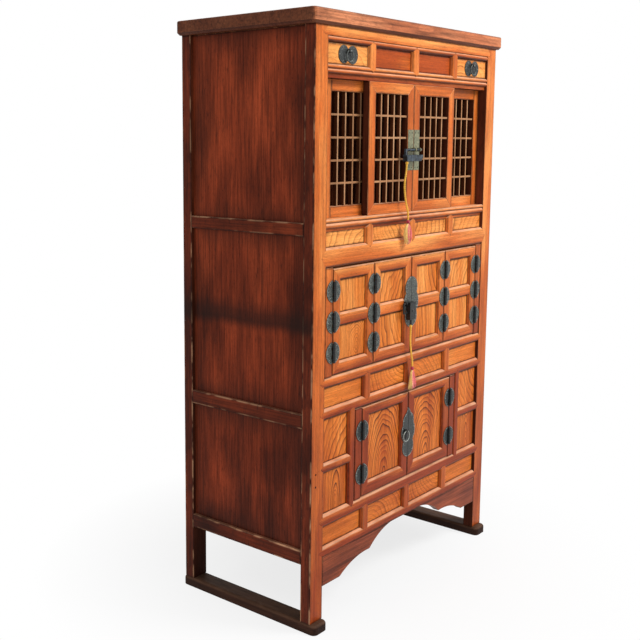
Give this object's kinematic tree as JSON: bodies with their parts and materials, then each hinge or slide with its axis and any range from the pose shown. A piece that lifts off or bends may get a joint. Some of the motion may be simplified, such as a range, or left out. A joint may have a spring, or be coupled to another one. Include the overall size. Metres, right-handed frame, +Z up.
{
  "type": "kitchen chest",
  "caption": "Tall wooden kitchen chest on runners, with drawers, sliding lattice doors, folding panelled doors and lower doors with round iron hinges.",
  "frame": {"origin": "on the floor, under the middle of the runners and of the chest's width", "axes": "+Z up, the doors face -Y, +X to the right as seen from the front"},
  "size_m": [1.02, 0.505, 1.687],
  "materials": {
    "wood_frame": "worn satin oil",
    "wood_panel": "worn satin oil, strong grain",
    "wood_side": "dark stained, matt",
    "wood_top": "worn satin oil",
    "wood_apron": "dark satin",
    "wood_runner": "dark, scuffed",
    "wood_inside": "bare, matt",
    "wood_lattice": "satin oil",
    "iron": "blackened",
    "grey_plate": "dull, tarnished",
    "cord_yellow": "twisted cord",
    "tassel_pink": "loose threads"
  },
  "bodies": {
    "carcass": {"top_board": "wood_top", "post_front_left": "wood_frame", "post_front_right": "wood_frame", "posts_back": "wood_side", "runner_left": "wood_runner", "runner_right": "wood_runner", "rail_1": "wood_frame", "rail_2": "wood_frame", "rail_3": "wood_frame", "rail_4": "wood_frame", "rail_5": "wood_frame", "rail_6": "wood_frame", "rail_7": "wood_frame", "rail_8": "wood_frame", "apron": "wood_apron", "front_uprights": "wood_frame", "front_panels": "wood_panel", "bay_rails": "wood_frame", "side_rails": "wood_side", "side_panels": "wood_side", "back_rails": "wood_inside", "back_panels": "wood_inside", "shelves": "wood_inside", "bearers_and_guides": "wood_inside", "hinges_fixed": "iron"},
    "drawer_left": {"drawer_left": "wood_panel", "pull_plate_left": "iron"},
    "bail_left": {"bail_left": "iron"},
    "drawer_right": {"drawer_right": "wood_panel", "pull_plate_right": "iron"},
    "bail_right": {"bail_right": "iron"},
    "fold_outer_left": {"fold_outer_left": "wood_panel", "fold_outer_iron_left": "iron"},
    "fold_inner_left": {"fold_inner_left": "wood_panel", "fold_inner_iron_left": "iron"},
    "lower_door_left": {"lower_door_left": "wood_panel", "lower_door_iron_left": "iron"},
    "fold_outer_right": {"fold_outer_right": "wood_panel", "fold_outer_iron_right": "iron"},
    "fold_inner_right": {"fold_inner_right": "wood_panel", "fold_inner_iron_right": "iron"},
    "lower_door_right": {"lower_door_right": "wood_panel", "lower_door_iron_right": "iron"},
    "lattice_outer_left": {"lattice_frame_outer_left": "wood_frame", "lattice_bars_outer_left": "wood_lattice"},
    "lattice_middle_left": {"lattice_frame_middle_left": "wood_frame", "lattice_bars_middle_left": "wood_lattice", "lattice_plate_left": "grey_plate"},
    "lattice_middle_right": {"lattice_frame_middle_right": "wood_frame", "lattice_bars_middle_right": "wood_lattice", "lattice_plate_right": "grey_plate"},
    "lattice_outer_right": {"lattice_frame_outer_right": "wood_frame", "lattice_bars_outer_right": "wood_lattice"},
    "ring_pull": {"ring_pull": "iron"},
    "padlock_upper": {"padlock_upper": "iron", "cord_upper": "cord_yellow", "tassel_upper": "tassel_pink"},
    "padlock_fold": {"padlock_fold": "iron", "cord_fold": "cord_yellow", "tassel_fold": "tassel_pink"}
  },
  "joints": [
    {"name": "drawer_left_slide", "type": "slide", "parent": "carcass", "child": "drawer_left", "axis": [0, -1, 0], "range_m": [0, 0.3]},
    {"name": "bail_left_swing", "type": "hinge", "parent": "drawer_left", "child": "bail_left", "pos_m": [-0.33825, -0.2345, 1.58675], "axis": [-1, 0, 0], "range_deg": [0, 100]},
    {"name": "drawer_right_slide", "type": "slide", "parent": "carcass", "child": "drawer_right", "axis": [0, -1, 0], "range_m": [0, 0.3]},
    {"name": "bail_right_swing", "type": "hinge", "parent": "drawer_right", "child": "bail_right", "pos_m": [0.33825, -0.2345, 1.58675], "axis": [-1, 0, 0], "range_deg": [0, 100]},
    {"name": "fold_outer_left_hinge", "type": "hinge", "parent": "carcass", "child": "fold_outer_left", "pos_m": [-0.3975, -0.2375, 0.862], "axis": [0, 0, -1], "range_deg": [0, 90]},
    {"name": "fold_inner_left_hinge", "type": "hinge", "parent": "fold_outer_left", "child": "fold_inner_left", "pos_m": [-0.19875, -0.2375, 0.862], "axis": [0, 0, -1], "range_deg": [0, 140]},
    {"name": "lower_door_left_hinge", "type": "hinge", "parent": "carcass", "child": "lower_door_left", "pos_m": [-0.2485, -0.2375, 0.4595], "axis": [0, 0, -1], "range_deg": [0, 100]},
    {"name": "fold_outer_right_hinge", "type": "hinge", "parent": "carcass", "child": "fold_outer_right", "pos_m": [0.3975, -0.2375, 0.862], "axis": [0, 0, 1], "range_deg": [0, 90]},
    {"name": "fold_inner_right_hinge", "type": "hinge", "parent": "fold_outer_right", "child": "fold_inner_right", "pos_m": [0.19875, -0.2375, 0.862], "axis": [0, 0, 1], "range_deg": [0, 165]},
    {"name": "lower_door_right_hinge", "type": "hinge", "parent": "carcass", "child": "lower_door_right", "pos_m": [0.2485, -0.2375, 0.4595], "axis": [0, 0, 1], "range_deg": [0, 100]},
    {"name": "lattice_outer_left_slide", "type": "slide", "parent": "carcass", "child": "lattice_outer_left", "axis": [1, 0, 0], "range_m": [-0.024, 0.17]},
    {"name": "lattice_middle_left_slide", "type": "slide", "parent": "carcass", "child": "lattice_middle_left", "axis": [-1, 0, 0], "range_m": [0, 0.197]},
    {"name": "lattice_middle_right_slide", "type": "slide", "parent": "carcass", "child": "lattice_middle_right", "axis": [1, 0, 0], "range_m": [0, 0.197]},
    {"name": "lattice_outer_right_slide", "type": "slide", "parent": "carcass", "child": "lattice_outer_right", "axis": [-1, 0, 0], "range_m": [0, 0.193]},
    {"name": "ring_pull_swing", "type": "hinge", "parent": "lower_door_left", "child": "ring_pull", "pos_m": [-0.02, -0.2401, 0.474], "axis": [-1, 0, 0], "range_deg": [0, 90]},
    {"name": "padlock_upper_swing", "type": "hinge", "parent": "lattice_middle_left", "child": "padlock_upper", "pos_m": [-0.012, -0.2421, 1.325], "axis": [-1, 0, 0], "range_deg": [0, 15]},
    {"name": "padlock_fold_swing", "type": "hinge", "parent": "fold_inner_left", "child": "padlock_fold", "pos_m": [-0.0396, -0.24, 0.8695], "axis": [-1, 0, 0], "range_deg": [0, 10]}
  ]
}
